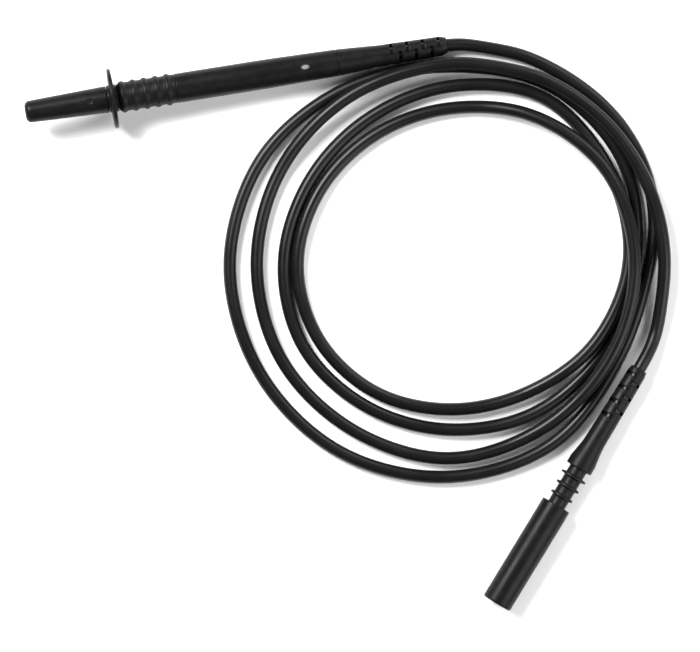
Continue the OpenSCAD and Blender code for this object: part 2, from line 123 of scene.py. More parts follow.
def outline(corners, steps=5):
    """A section's points from its corners (radius, station, rounding), each rounding as a short arc."""
    most_of_side = 0.49
    points = []
    for i, (radius, station, rounding) in enumerate(corners):
        corner = complex(radius, station)
        if not rounding:
            points.append(corner)
            continue
        before = complex(*corners[i - 1][:2]) - corner
        after = complex(*corners[(i + 1) % len(corners)][:2]) - corner
        half = abs(cmath.phase(after / before)) / 2
        longest = most_of_side * min(abs(before), abs(after))
        reach = min(rounding / math.tan(half), longest)
        before, after = before / abs(before), after / abs(after)
        centre = corner + (before + after) / abs(before + after) * reach / math.cos(half)
        arm = corner + before * reach - centre
        turn = cmath.phase((corner + after * reach - centre) / arm)
        points += [centre + arm * cmath.exp(1j * turn * k / steps) for k in range(steps + 1)]
    return [(p.real, p.imag) for p in points]


def divided(section, step, closed):
    """The section with no two points further apart than step."""
    points = []
    ends = section[1:] + section[:1] if closed else section[1:]
    for (r0, z0), (r1, z1) in zip(section, ends):
        parts = max(1, math.ceil(math.hypot(r1 - r0, z1 - z0) / step))
        points += [(r0 + (r1 - r0) * k / parts, z0 + (z1 - z0) * k / parts) for k in range(parts)]
    return points if closed else points + section[-1:]


def turned(name, section, sides=144, step=None, closed=True):
    """A mesh turned about Z. The section goes out at the front, back along the outside and in again,
    so that its faces point outwards. An open section starts and ends on the axis."""
    if step:
        section = divided(section, step, closed)
    points, rings = [], []
    angles = [2 * math.pi * k / sides for k in range(sides)]
    for radius, station in section:
        at_pole = radius < ON_AXIS
        rings.append([len(points) + k for k in range(1 if at_pole else sides)])
        if at_pole:
            points.append((0, 0, station))
        else:
            points += [(radius * math.cos(a), radius * math.sin(a), station) for a in angles]
    faces = []
    for front, back in zip(rings, rings[1:] + rings[:1] if closed else rings[1:]):
        for k in range(sides):
            n = (k + 1) % sides
            corners = (front[k % len(front)], front[n % len(front)],
                       back[n % len(back)], back[k % len(back)])
            faces.append(tuple(dict.fromkeys(corners)))
    mesh = bpy.data.meshes.new(name)
    mesh.from_pydata(points, [], faces)
    return mesh


def joined(name, meshes):
    """One mesh of several."""
    points, faces = [], []
    for mesh in meshes:
        start = len(points)
        points += [tuple(v.co) for v in mesh.vertices]
        faces += [tuple(start + k for k in polygon.vertices) for polygon in mesh.polygons]
    whole = bpy.data.meshes.new(name)
    whole.from_pydata(points, [], faces)
    return whole


def coordinates(mesh):
    """The mesh's points as an array."""
    points = np.zeros(len(mesh.vertices) * 3, np.float32)
    mesh.vertices.foreach_get("co", points)
    return points.reshape(-1, 3).astype(float)


def move_points(mesh, points):
    mesh.vertices.foreach_set("co", points.astype(np.float32).ravel())


def eased(share):
    """A share between 0 and 1 that starts and ends gently."""
    share = np.clip(share, 0, 1)
    return share * share * (3 - 2 * share)


def press_mark(mesh, station, length, width, depth, least_radius, painted_glint=False):
    """Presses a shallow oval mark in the top of a piece that is turned about Z."""
    slope = 0.35
    points = coordinates(mesh)
    radii = np.hypot(points[:, 0], points[:, 1])
    around = np.arctan2(points[:, 1], -points[:, 0]) * radii
    off_centre = np.hypot((points[:, 2] - station) / (length / 2), around / (width / 2))
    share = eased((1 - off_centre) / slope) * (radii > least_radius)
    points[:, :2] *= (1 - depth * share / np.maximum(radii, MM))[:, None]
    move_points(mesh, points)
    # Painted highlight: the mark attribute keeps where the plastic paints the mark pale, as a glint of
    # light on it.
    if painted_glint:
        mark = mesh.attributes.new("mark", "FLOAT", "POINT")
        mark.data.foreach_set("value", share.astype(np.float32))


def raise_flash(mesh, height, least_radius):
    """Raises the fine line that the two halves of a mould leave along a turned piece's sides."""
    points = coordinates(mesh)
    radii = np.hypot(points[:, 0], points[:, 1])
    on_line = (np.abs(points[:, 0]) < 0.01 * MM) & (radii > least_radius)
    points[on_line, :2] *= (1 + height / radii[on_line])[:, None]
    move_points(mesh, points)


def add_piece(name, mesh, nodes, material, shaft=None, body=MAIN_BODY):
    """Puts a finished mesh in the scene, in the place of its CAD nodes."""
    if shaft:
        mesh.transform(shaft.place())
    mesh.name = name
    mesh.materials.clear()
    mesh.materials.append(material)
    mesh.shade_smooth()
    mesh.set_sharp_from_angle(angle=math.radians(50))
    mesh.validate()
    piece = bpy.data.objects.new(name, mesh)
    bpy.context.scene.collection.objects.link(piece)
    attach(piece, body)
    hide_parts(*nodes)
    return piece


# Node trees for what repeats


class Number:
    """A number that a node tree works out. Sums with it add nodes to its tree."""

    def __init__(self, tree, socket):
        self.tree, self.socket = tree, socket

    def __add__(self, other):
        return self.tree.calc("ADD", self, other)

    def __sub__(self, other):
        return self.tree.calc("SUBTRACT", self, other)

    def __rsub__(self, other):
        return self.tree.calc("SUBTRACT", other, self)

    def __mul__(self, other):
        return self.tree.calc("MULTIPLY", self, other)

    def __truediv__(self, other):
        return self.tree.calc("DIVIDE", self, other)

    def __rtruediv__(self, other):
        return self.tree.calc("DIVIDE", other, self)


class Tree:
    """A geometry node tree with named inputs."""

    def __init__(self, name, inputs):
        self.tree = bpy.data.node_groups.new(name, "GeometryNodeTree")
        self.tree.interface.new_socket("Geometry", in_out="OUTPUT", socket_type="NodeSocketGeometry")
        for label, kind in inputs.items():
            self.tree.interface.new_socket(label, in_out="INPUT", socket_type="NodeSocket" + kind)
        self.inputs = self.tree.nodes.new("NodeGroupInput").outputs

    def numbers(self, *labels):
        """The inputs with these names, as numbers."""
        return [Number(self, self.inputs[label]) for label in labels]

    def link(self, value, socket):
        """Joins an output to a socket, or sets the socket's value."""
        value = value.socket if isinstance(value, Number) else value
        if isinstance(value, bpy.types.NodeSocket):
            self.tree.links.new(value, socket)
        else:
            socket.default_value = value

    def add(self, kind, inputs=None, **settings):
        """The first output of a new node with the given inputs."""
        node = self.tree.nodes.new(kind)
        for name, value in settings.items():
            setattr(node, name, value)
        for key, value in (inputs or {}).items():
            self.link(value, node.inputs[key])
        return node.outputs[0]

    def calc(self, operation, *values):
        """The result of a Math node."""
        node = self.tree.nodes.new("ShaderNodeMath")
        node.operation = operation
        for value, socket in zip(values, node.inputs):
            self.link(value, socket)
        return Number(self, node.outputs[0])

    def vector(self, x, y, z):
        return self.add("ShaderNodeCombineXYZ", {"X": x, "Y": y, "Z": z})

    def index(self):
        return Number(self, self.add("GeometryNodeInputIndex"))

    def place(self):
        """X, Y and Z of each point, and its distance from the Z axis."""
        parts = self.tree.nodes.new("ShaderNodeSeparateXYZ")
        self.link(self.add("GeometryNodeInputPosition"), parts.inputs[0])
        x, y, z = (Number(self, part) for part in parts.outputs)
        return x, y, z, self.calc("SQRT", x * x + y * y)

    def shape(self, label):
        """The geometry of the object that an input names."""
        node = self.tree.nodes.new("GeometryNodeObjectInfo")
        self.link(self.inputs[label], node.inputs["Object"])
        return node.outputs["Geometry"]

    def finish(self, geometry):
        """Ends the tree in plain geometry with its material."""
        real = self.add("GeometryNodeRealizeInstances", {"Geometry": geometry})
        painted = self.add(
            "GeometryNodeSetMaterial", {"Geometry": real, "Material": self.inputs["Material"]}
        )
        end = self.tree.nodes.new("NodeGroupOutput")
        self.tree.links.new(painted, end.inputs[0])
        return self.tree


def grown(tree, inputs, start=None):
    """The plain mesh that a node tree makes, out of a starting mesh if it takes one."""
    holder = bpy.data.objects.new(tree.name, start or bpy.data.meshes.new(tree.name))
    modifier = holder.modifiers.new(tree.name, "NODES")
    modifier.node_group = tree
    for socket in tree.interface.items_tree:
        if socket.in_out == "INPUT" and socket.name in inputs:
            modifier[socket.identifier] = inputs[socket.name]
    bpy.context.scene.collection.objects.link(holder)
    bpy.context.view_layer.update()
    graph = bpy.context.evaluated_depsgraph_get()
    mesh = bpy.data.meshes.new_from_object(holder.evaluated_get(graph))
    bpy.data.objects.remove(holder)
    return mesh


def rib_tree():
    """Raises rounded ribs round a sleeve turned about Z."""
    t = Tree("Grip ribs", {
        "Sleeve": "Geometry", "Ribs": "Int", "First rib": "Float", "Pitch": "Float",
        "Height": "Float", "Width": "Float", "Least radius": "Float", "Material": "Material",
    })
    fullness = 1.4
    ribs, first, pitch, height, width, least = t.numbers(
        "Ribs", "First rib", "Pitch", "Height", "Width", "Least radius"
    )
    x, y, z, radius = t.place()
    from_first = z - first
    nearest = t.calc("MINIMUM", t.calc("ROUND", from_first / pitch), ribs - 1)
    nearest = t.calc("MAXIMUM", nearest, 0)
    off = (from_first - nearest * pitch) / (width / 2)
    crown = t.calc("POWER", t.calc("MAXIMUM", 1 - off * off, 0), fullness)
    lift = crown * t.calc("GREATER_THAN", radius, least) * height
    ribbed = t.add("GeometryNodeSetPosition", {
        "Geometry": t.inputs["Sleeve"],
        "Offset": t.vector(lift * (x / radius), lift * (y / radius), 0),
    })
    return t.finish(ribbed)


def row_tree():
    """Sets copies of one block along Z, each turned from the last, and tapers the row round its bore."""
    t = Tree("Relief row", {
        "Block": "Object", "Count": "Int", "First": "Float", "Pitch": "Float", "Turn": "Float",
        "Bore": "Float", "Block radius": "Float", "Wide radius": "Float", "Narrow radius": "Float",
        "Wide station": "Float", "Narrow station": "Float", "Material": "Material",
    })
    turn, bore, block_radius = t.numbers("Turn", "Bore", "Block radius")
    places = t.add("GeometryNodeMeshLine", {
        "Count": t.inputs["Count"],
        "Start Location": t.vector(0, 0, t.inputs["First"]),
        "Offset": t.vector(0, 0, t.inputs["Pitch"]),
    }, mode="OFFSET")
    copies = t.add("GeometryNodeInstanceOnPoints", {
        "Points": places, "Instance": t.shape("Block"), "Rotation": t.vector(0, 0, t.index() * turn),
    })
    real = t.add("GeometryNodeRealizeInstances", {"Geometry": copies})
    x, y, z, radius = t.place()
    outer = Number(t, t.add("ShaderNodeMapRange", {
        "Value": z, "From Min": t.inputs["Wide station"], "From Max": t.inputs["Narrow station"],
        "To Min": t.inputs["Wide radius"], "To Max": t.inputs["Narrow radius"],
    }, clamp=False))
    ratio = (outer - bore) / (block_radius - bore)
    scale = ((radius - bore) * ratio + bore) / radius
    tapered = t.add("GeometryNodeSetPosition", {
        "Geometry": real, "Position": t.vector(x * scale, y * scale, z),
    })
    return t.finish(tapered)


def leaf_tree():
    """Sets leaves round Z, in rows along it."""
    t = Tree("Contact leaves", {
        "Leaf": "Object", "Leaves": "Int", "Rows": "Int", "Row pitch": "Float", "Material": "Material",
    })
    leaves, = t.numbers("Leaves")
    turn = t.index() * (2 * math.pi / leaves)
    spots = t.add("GeometryNodePoints", {"Count": leaves})
    ring = t.add("GeometryNodeInstanceOnPoints", {
        "Points": spots, "Instance": t.shape("Leaf"), "Rotation": t.vector(0, 0, turn),
    })
    rows = t.add("GeometryNodeMeshLine", {
        "Count": t.inputs["Rows"], "Offset": t.vector(0, 0, t.inputs["Row pitch"]),
    }, mode="OFFSET")
    return t.finish(t.add("GeometryNodeInstanceOnPoints", {"Points": rows, "Instance": ring}))


def spring_tree():
    """Winds round wire about Z, close at both ends and open between them."""
    t = Tree("Spring turns", {
        "Turns": "Float", "Steps": "Int", "Radius": "Float", "Wire radius": "Float",
        "Start": "Float", "Length": "Float", "Material": "Material",
    })
    wire_sides, open_share = 12, 0.3
    turns, steps, radius, start, length = t.numbers("Turns", "Steps", "Radius", "Start", "Length")
    line = t.add("GeometryNodeMeshLine", {"Count": steps})
    share = t.index() / (steps - 1)
    angle = share * turns * (2 * math.pi)
    gentle = Number(t, t.add("ShaderNodeMapRange", {"Value": share}, interpolation_type="SMOOTHSTEP"))
    rise = share * (1 - open_share) + gentle * open_share
    wound = t.add("GeometryNodeSetPosition", {
        "Geometry": line,
        "Position": t.vector(
            t.calc("COSINE", angle) * radius, t.calc("SINE", angle) * radius, start + rise * length,
        ),
    })
    curve = t.add("GeometryNodeMeshToCurve", {"Mesh": wound})
    wire = t.add("GeometryNodeCurvePrimitiveCircle", {
        "Resolution": wire_sides, "Radius": t.inputs["Wire radius"],
    })
    return t.finish(t.add("GeometryNodeCurveToMesh", {
        "Curve": curve, "Profile Curve": wire, "Fill Caps": True,
    }))


# Finishes

GRAIN, FINE_GRAIN = 0.005 * MM, 0.004 * MM
CORE_BLACK, NECK_BLACK = (0.008, 0.008, 0.008), (0.006, 0.006, 0.006)


class Finish:
    """A material built up in layers of fine detail. Scales are in turns per metre, depths in metres."""

    def __init__(self, name, colour, roughness, **sockets):
        self.material = bpy.data.materials.new(name)
        self.material.use_nodes = True
        self.nodes = self.material.node_tree.nodes
        self.links = self.material.node_tree.links
        self.shader = self.nodes["Principled BSDF"]
        self.colour = colour
        self.set(self.shader, {"Base Color": (*colour, 1), "Roughness": roughness})
        self.set(self.shader, {key.replace("_", " "): value for key, value in sockets.items()})
        self.place = self.nodes.new("ShaderNodeTexCoord").outputs["Object"]

    def set(self, node, values):
        for key, value in values.items():
            if isinstance(value, bpy.types.NodeSocket):
                self.links.new(value, node.inputs[key])
            else:
                node.inputs[key].default_value = value

    def noise(self, scale, detail=3.0, stretch=(1, 1, 1), place=None):
        """Cloudy noise, finer along an axis with a greater stretch."""
        mapping = self.nodes.new("ShaderNodeMapping")
        self.set(mapping, {"Vector": place or self.place, "Scale": stretch})
        noise = self.nodes.new("ShaderNodeTexNoise")
        self.set(noise, {"Vector": mapping.outputs[0], "Scale": scale, "Detail": detail})
        return noise.outputs["Fac"]

    def ranged(self, value, low, high, start=0.3, end=0.7):
        """The value spread from low to high."""
        node = self.nodes.new("ShaderNodeMapRange")
        self.set(node, {
            "Value": value, "From Min": start, "From Max": end, "To Min": low, "To Max": high,
        })
        return node.outputs[0]

    def mottle(self, value, light):
        """Fades the colour towards a lighter one where the value is high."""
        mix = self.nodes.new("ShaderNodeMix")
        mix.data_type = "RGBA"
        base = self.shader.inputs["Base Color"]
        previous = base.links[0].from_socket if base.links else (*self.colour, 1)
        for socket, colour in zip((mix.inputs[6], mix.inputs[7]), (previous, (*light, 1))):
            if isinstance(colour, bpy.types.NodeSocket):
                self.links.new(colour, socket)
            else:
                socket.default_value = colour
        self.links.new(value, mix.inputs[0])
        self.links.new(mix.outputs[2], base)

    def polish(self, value, low, high):
        """Lets the roughness wander between two values."""
        self.set(self.shader, {"Roughness": self.ranged(value, low, high)})

    def relief(self, value, depth):
        """Raises the surface where the value is high."""
        bump = self.nodes.new("ShaderNodeBump")
        normal = self.shader.inputs["Normal"]
        if normal.links:
            self.links.new(normal.links[0].from_socket, bump.inputs["Normal"])
        self.set(bump, {"Height": value, "Distance": depth, "Strength": 1.0})
        self.links.new(bump.outputs[0], normal)


def moulded_plastic(name, colour, roughness, grain_depth):
    """Moulded black plastic: a fine spark-eroded grain, soft patches of gloss, and gate marks painted
    pale as a painted highlight.
    """
    finish = Finish(name, colour, roughness, Specular_IOR_Level=0.09)
    finish.polish(finish.noise(160), roughness - 0.05, roughness + 0.06)
    finish.mottle(finish.ranged(finish.noise(420, 5), 0, 0.25, 0.4, 0.8), [4 * c for c in colour])
    finish.relief(finish.noise(2600, 4), grain_depth)
    finish.relief(finish.noise(240, 2), 2 * grain_depth)
    # Painted highlight: where the mark attribute is set, the colour fades to pale grey, standing in for
    # the glint of light on the gate mark.
    mark = finish.nodes.new("ShaderNodeAttribute")
    mark.attribute_name = "mark"
    finish.mottle(finish.ranged(mark.outputs["Fac"], 0, 0.8, 0, 1), (0.2, 0.2, 0.2))
    return finish.material


def soft_rubber(name, colour, roughness):
    """Soft black moulding: duller, with a faint bloom and a fine skin."""
    finish = Finish(name, colour, roughness, Specular_IOR_Level=0.1)
    finish.polish(finish.noise(300), roughness - 0.06, roughness + 0.07)
    finish.mottle(finish.ranged(finish.noise(700, 6), 0, 0.3, 0.45, 0.85), [3.5 * c for c in colour])
    finish.relief(finish.noise(3400, 4), 0.006 * MM)
    finish.relief(finish.noise(500, 2), 0.012 * MM)
    return finish.material


def cord_jacket(name, colour, roughness, with_lines):
    """Extruded jacket: satin, drawn in faint lines along the cord, with specks of dust."""
    finish = Finish(name, colour, roughness, Specular_IOR_Level=0.18)
    place, stretch = finish.place, (1, 1, 1)
    if with_lines:
        place, stretch = finish.nodes.new("ShaderNodeUVMap").outputs[0], (9, 0.02, 1)
    drawn = finish.noise(3.0 if with_lines else 900, 4, stretch, place)
    finish.polish(finish.noise(90), roughness - 0.05, roughness + 0.08)
    finish.relief(drawn, 0.012 * MM)
    finish.relief(finish.noise(700, 3), 0.008 * MM)
    dust = finish.ranged(finish.noise(2600, 2), 0, 0.35, 0.66, 0.8)
    finish.mottle(dust, [8 * c for c in colour])
    return finish.material


def turned_metal(name, colour, roughness, stretch=(1, 1, 1)):
    """Turned or drawn metal: fine tool lines and slightly uneven polish."""
    finish = Finish(name, colour, roughness, Metallic=1.0)
    lines = finish.noise(1800, 3, stretch)
    finish.polish(lines, roughness - 0.06, roughness + 0.08)
    finish.relief(lines, 0.004 * MM)
    finish.mottle(finish.ranged(finish.noise(350, 4), 0, 0.35), [0.8 * c for c in colour])
    return finish.material


def copper_strands(name, colour):
    """Bare stranded wire: bright crests and dull valleys."""
    finish = Finish(name, colour, 0.35, Metallic=1.0)
    strands = finish.noise(1400, 2, (0.2, 1, 1))
    finish.relief(strands, 0.08 * MM)
    finish.polish(strands, 0.45, 0.25)
    finish.mottle(finish.ranged(finish.noise(600), 0, 0.5), [0.6 * c for c in colour])
    return finish.material


def clear_sleeve(name, colour):
    """Thin shrunk sleeve: milky, with soft wrinkles."""
    finish = Finish(name, colour, 0.35, Transmission_Weight=0.4, IOR=1.46)
    finish.polish(finish.noise(400), 0.25, 0.45)
    finish.relief(finish.noise(500, 2), 0.02 * MM)
    return finish.material


# Sizes and colours that a user would change


def length(name, description, default):
    """A length in millimetres, held in metres."""
    return FloatProperty(
        name=name, description=description, default=default * MM, min=0.0, precision=5,
        unit="LENGTH", subtype="DISTANCE",
    )


def colour(name, description, default):
    return FloatVectorProperty(
        name=name, description=description, default=default, size=3, min=0.0, max=1.0,
        subtype="COLOR",
    )


class TESTLEAD_CordSettings(bpy.types.PropertyGroup):
    diameter: length("Diameter", "Diameter of the cord", 3.85)
    whole_length: length("Length", "Length of the free cord from the probe to the plug", 1500)
    ring_step: length("Ring step", "Distance between the tube's rings", 1.3)
    sides: IntProperty(name="Sides", description="Sides of the cord's tube", default=28, min=8)
    jacket: colour("Jacket", "Colour of the jacket", (0.0046, 0.0045, 0.0047))


class TESTLEAD_ProbeSettings(bpy.types.PropertyGroup):
    nose_radius: length("Nose radius", "Radius of the tip cover at its closed end", 3.2)
    nose_rounding: length("Nose rounding", "Rounding of the closed end", 1.8)
    dimple_station: length("Dimple station", "Place of the tip cover's gate dimple", 19.2)
    dimple_width: length("Dimple width", "Width of the gate dimple", 1.9)
    rib_count: IntProperty(name="Ribs", description="Ribs on the grip", default=5, min=1)
    rib_pitch: length("Rib pitch", "Distance from rib to rib", 3.35)
    rib_first: length("First rib", "Distance of the first rib from the grip's front", 1.5)
    rib_height: length("Rib height", "Height of a rib", 0.45)
    rib_width: length("Rib width", "Width of a rib at its foot", 2.1)
    guard_thickness: length("Guard thickness", "Thickness of the finger guard at its rim", 1.1)
    guard_root: length("Guard root", "Thickness of the finger guard at its hub", 1.7)
    barrel_taper: length("Barrel taper", "Length of the barrel's tapered rear", 22)
    mark_station: length("Mark station", "Place of the barrel's oval gate mark", 83.3)
    mark_length: length("Mark length", "Length of the oval gate mark", 2.6)
    mark_width: length("Mark width", "Width of the oval gate mark", 1.5)
    plastic: colour("Plastic", "Colour of the hard mouldings", (0.0045, 0.0045, 0.0047))


class TESTLEAD_ReliefSettings(bpy.types.PropertyGroup):
    slot_count: IntProperty(name="Slots", description="Slots in each relief", default=7, min=2)
    slot_pitch: length("Slot pitch", "Distance from slot to slot", 2.35)
    slot_width: length("Slot width", "Width of a slot", 0.95)
    web_wall: length("Web wall", "Thickness of the webs at the last slot", 0.5)
    first_turn: FloatProperty(
        name="First turn", description="Turn of the first slot about the cord",
        default=math.radians(45), unit="ROTATION", subtype="ANGLE",
    )
    tail: length("Tail", "Plain length behind the last slot", 2.4)
    edge: length("Edge", "Rounding of the rings' edges", 0.3)
    boot_radii: FloatVectorProperty(
        name="Probe boot radii", description="Radius at the first slot, the last slot and the end",
        default=(3.15 * MM, 2.9 * MM, 2.35 * MM), unit="LENGTH",
    )
    body_radii: FloatVectorProperty(
        name="Plug body radii", description="Radius at the first slot, the last slot and the end",
        default=(3.05 * MM, 2.8 * MM, 2.5 * MM), unit="LENGTH",
    )
    body_shoulder: length("Body shoulder", "Length of the plug body's full shoulder", 2.5)
    body_waist: length("Body waist", "Distance from the plug body's front to its waist", 8)
    waist_radius: length("Waist radius", "Radius of the plug body's waist", 3.2)
    rubber: colour("Rubber", "Colour of the soft mouldings", (0.0046, 0.0045, 0.0047))


class TESTLEAD_PlugSettings(bpy.types.PropertyGroup):
    mouth_rounding: length("Mouth rounding", "Rounding of the sheath's mouth", 0.95)
    skirt_rounding: length("Skirt rounding", "Rounding of the sheath's rear end", 0.5)
    mouth_radius: length("Mouth radius", "Radius of the sheath's mouth", 3.4)
    mouth_depth: length("Mouth depth", "Depth of the sheath's mouth", 20.7)
    neck_radius: length("Neck radius", "Radius of the neck", 2.75)
    spigot_radius: length("Spigot radius", "Radius of the neck's spigot in the plug body", 2.95)
    fin_radii: FloatVectorProperty(
        name="Fin radii", description="Radii of the three fins",
        default=(3.6 * MM, 3.74 * MM, 4.05 * MM), unit="LENGTH",
    )
    fin_first: length("First fin", "Distance of the first fin from the sheath", 3)
    fin_pitch: length("Fin pitch", "Distance from fin to fin", 3.35)
    fin_foot: length("Fin foot", "Thickness of a fin at its foot", 1.1)
    fin_rim: length("Fin rim", "Thickness of a fin at its rim", 0.55)
    leaf_count: IntProperty(name="Leaves", description="Leaves in each row", default=6, min=3)
    leaf_gap: length("Leaf gap", "Gap between two leaves", 0.4)
    leaf_bulge: length("Leaf bulge", "How far a leaf stands out in its middle", 0.1)
    band: length("Band", "Width of the cage's bands", 1.6)
    spring_turns: FloatProperty(name="Turns", description="Turns of the spring", default=10, min=3)
    spring_steps: IntProperty(name="Steps", description="Rings along the wire", default=480, min=3)
    gold: colour("Gold", "Colour of the contact cage", (0.83, 0.66, 0.34))
    nickel: colour("Nickel", "Colour of the plated metal", (0.72, 0.7, 0.66))


class TESTLEAD_StageSettings(bpy.types.PropertyGroup):
    view_width: length("View width", "Width of the camera's view at the object", 205.9)
    view_centre: FloatVectorProperty(
        name="View centre", description="Middle of the camera's view", size=2,
        default=(21.3 * MM, -77.3 * MM), unit="LENGTH",
    )
    view_turn: FloatProperty(
        name="View turn", description="Turn of the camera about its own line of sight",
        default=math.radians(-9.26), unit="ROTATION", subtype="ANGLE",
    )
    floor: colour("Floor", "Colour of the floor", (0.86, 0.86, 0.86))


class TESTLEAD_Settings(bpy.types.PropertyGroup):
    cord: PointerProperty(type=TESTLEAD_CordSettings)
    probe: PointerProperty(type=TESTLEAD_ProbeSettings)
    relief: PointerProperty(type=TESTLEAD_ReliefSettings)
    plug: PointerProperty(type=TESTLEAD_PlugSettings)
    stage: PointerProperty(type=TESTLEAD_StageSettings)


# The cord's route

PROBE_EXIT = Vector(PROBE.start + PROBE.along * PROBE.span("rear_boot")[1])
PLUG_EXIT = Vector(PLUG.start + PLUG.along * PLUG.span("plug_body")[1])
STRAIGHT_OUT = 3 * MM
PROBE_STRETCH = [
    (0.074, -0.0025), (0.0845, -0.0065), (0.094, -0.013), (0.1025, -0.021), (0.109, -0.030),
    (0.1135, -0.0405), (0.1155, -0.0515), (0.115, -0.0625), (0.112, -0.073),
]
PLUG_STRETCH = [
    (0.082, -0.011), (0.0915, -0.016), (0.0995, -0.023), (0.1065, -0.0315), (0.1115, -0.041),
    (0.115, -0.0515), (0.1165, -0.0625), (0.116, -0.0735), (0.1135, -0.084), (0.1095, -0.0955),
]
# The coil's turns as distances from its middle, at twelve places a turn, clockwise
COIL_MIDDLE = (0.0528, -0.0634)
COIL_FIRST_ANGLE = math.radians(-9)
PLACES_A_TURN = 12
COIL_TURNS = [
    (60.0, 58.0, 62.0, 63.5, 64.5, 64.5, 64.5, 63.0, 59.6, 58.0, 60.5, 60.0),
    (55.5, 53.0, 51.5, 49.5, 49.0, 49.5, 48.5, 47.5, 48.5, 52.0, 56.5, 55.0),
    (53.5, 49.5, 45.0, 43.5, 44.0, 44.5, 44.5, 43.5, 43.5, 45.5, 50.0, 54.0),
    (55.0, 55.5, 56.5, 58.0, 57.0, 57.0, 56.5, 56.5, 57.0, 58.5),
]


def cord_stations():
    """The floor plan of the cord's route, from the probe's boot round the coil to the plug."""
    start = [PROBE_EXIT, PROBE_EXIT + PROBE.along * STRAIGHT_OUT]
    end = [PLUG_EXIT + PLUG.along * STRAIGHT_OUT, PLUG_EXIT]
    coil = []
    for place, distance in enumerate(d * MM for turn in COIL_TURNS for d in turn):
        angle = COIL_FIRST_ANGLE - 2 * math.pi * place / PLACES_A_TURN
        coil.append((
            COIL_MIDDLE[0] + distance * math.cos(angle), COIL_MIDDLE[1] + distance * math.sin(angle),
        ))
    plan = [p.xy for p in start] + PROBE_STRETCH + coil[1:] + PLUG_STRETCH + [p.xy for p in end]
    return np.array([tuple(p) for p in plan], float)


def through(points, steps=12):
    """A smooth curve through the points, which neither overshoots nor loops between them."""
    padded = np.vstack([2 * points[0] - points[1], points, 2 * points[-1] - points[-2]])
    curve = []
    for a, b, c, d in zip(padded, padded[1:], padded[2:], padded[3:]):
        t1 = math.sqrt(np.linalg.norm(b - a))
        t2 = t1 + math.sqrt(np.linalg.norm(c - b))
        t3 = t2 + math.sqrt(np.linalg.norm(d - c))
        for t in np.linspace(t1, t2, steps, endpoint=False):
            ab = ((t1 - t) * a + t * b) / t1
            bc = ((t2 - t) * b + (t - t1) * c) / (t2 - t1)
            cd = ((t3 - t) * c + (t - t2) * d) / (t3 - t2)
            abc = ((t2 - t) * ab + t * bc) / t2
            bcd = ((t3 - t) * bc + (t - t1) * cd) / (t3 - t1)
            curve.append(((t2 - t) * abc + (t - t1) * bcd) / (t2 - t1))
    return np.array(curve + [points[-1]])


def evenly(points, step):
    """The same line with evenly spaced points, and their distances along it."""
    along = np.r_[0, np.cumsum(np.linalg.norm(np.diff(points, axis=0), axis=1))]
    even = np.linspace(0, along[-1], round(along[-1] / step) + 1)
    return np.stack([np.interp(even, along, column) for column in points.T], axis=1), even


def softened(values, spread):
    """The values averaged over their neighbours, with the ends carried straight on."""
    width = int(4 * spread)
    offsets = np.arange(-width, width + 1)
    weights = np.exp(-0.5 * (offsets / spread) ** 2)
    before = values[0] + (values[1] - values[0]) * np.arange(-width, 0)
    after = values[-1] + (values[-1] - values[-2]) * np.arange(1, width + 1)
    return np.convolve(np.r_[before, values, after], weights / weights.sum(), "valid")


def cord_heights(plan, along, diameter):
    """Heights of the cord's centre. It lies on the floor, goes over each stretch laid before it in a
    long low hump, and meets both exits at their own heights."""
    clear, hump, held = 1.03 * diameter, 34 * MM, 14 * MM
    step, floor, count = along[1], diameter / 2, len(along)
    skip, reach = int(6 * diameter / step), int(hump / step)
    offsets = np.arange(-reach, reach + 1)
    drops = diameter * (offsets * step / hump) ** 2
    slope = -PROBE.along.z / PROBE.along.x
    start = np.maximum(PROBE_EXIT.z - slope * along, floor)
    lead, tail = eased(along / held), eased((along[-1] - along) / held)
    heights = np.full(count, floor)
    for _ in range(8):
        needed = np.full(count, floor)
        for i in range(skip, count):
            gaps = ((plan[:i - skip] - plan[i]) ** 2).sum(axis=1)
            near = gaps < clear ** 2
            if near.any():
                over = heights[:i - skip][near] + np.sqrt(clear ** 2 - gaps[near])
                needed[i] = max(floor, over.max())
        raised = np.full(count, floor)
        for offset, drop in zip(offsets, drops):
            neighbours = needed[np.clip(np.arange(count) + offset, 0, count - 1)]
            raised = np.maximum(raised, neighbours - drop)
        raised = np.maximum(softened(raised, 4 * MM / step), floor)
        raised = lead * raised + (1 - lead) * start
        raised = tail * raised + (1 - tail) * PLUG_EXIT.z
        settled = np.abs(raised - heights).max() < 0.01 * MM
        heights = raised
        if settled:
            break
    return heights


def cord_line(diameter):
    """The cord's centreline in space."""
    step = 1.5 * MM
    plan, _ = evenly(through(cord_stations()), step)
    ends = plan[0].copy(), plan[-1].copy()
    plan = np.stack([softened(column, 3 * MM / step) for column in plan.T], axis=1)
    plan[0], plan[-1] = ends
    plan, along = evenly(plan, step)
    return np.column_stack([plan, cord_heights(plan, along, diameter)])


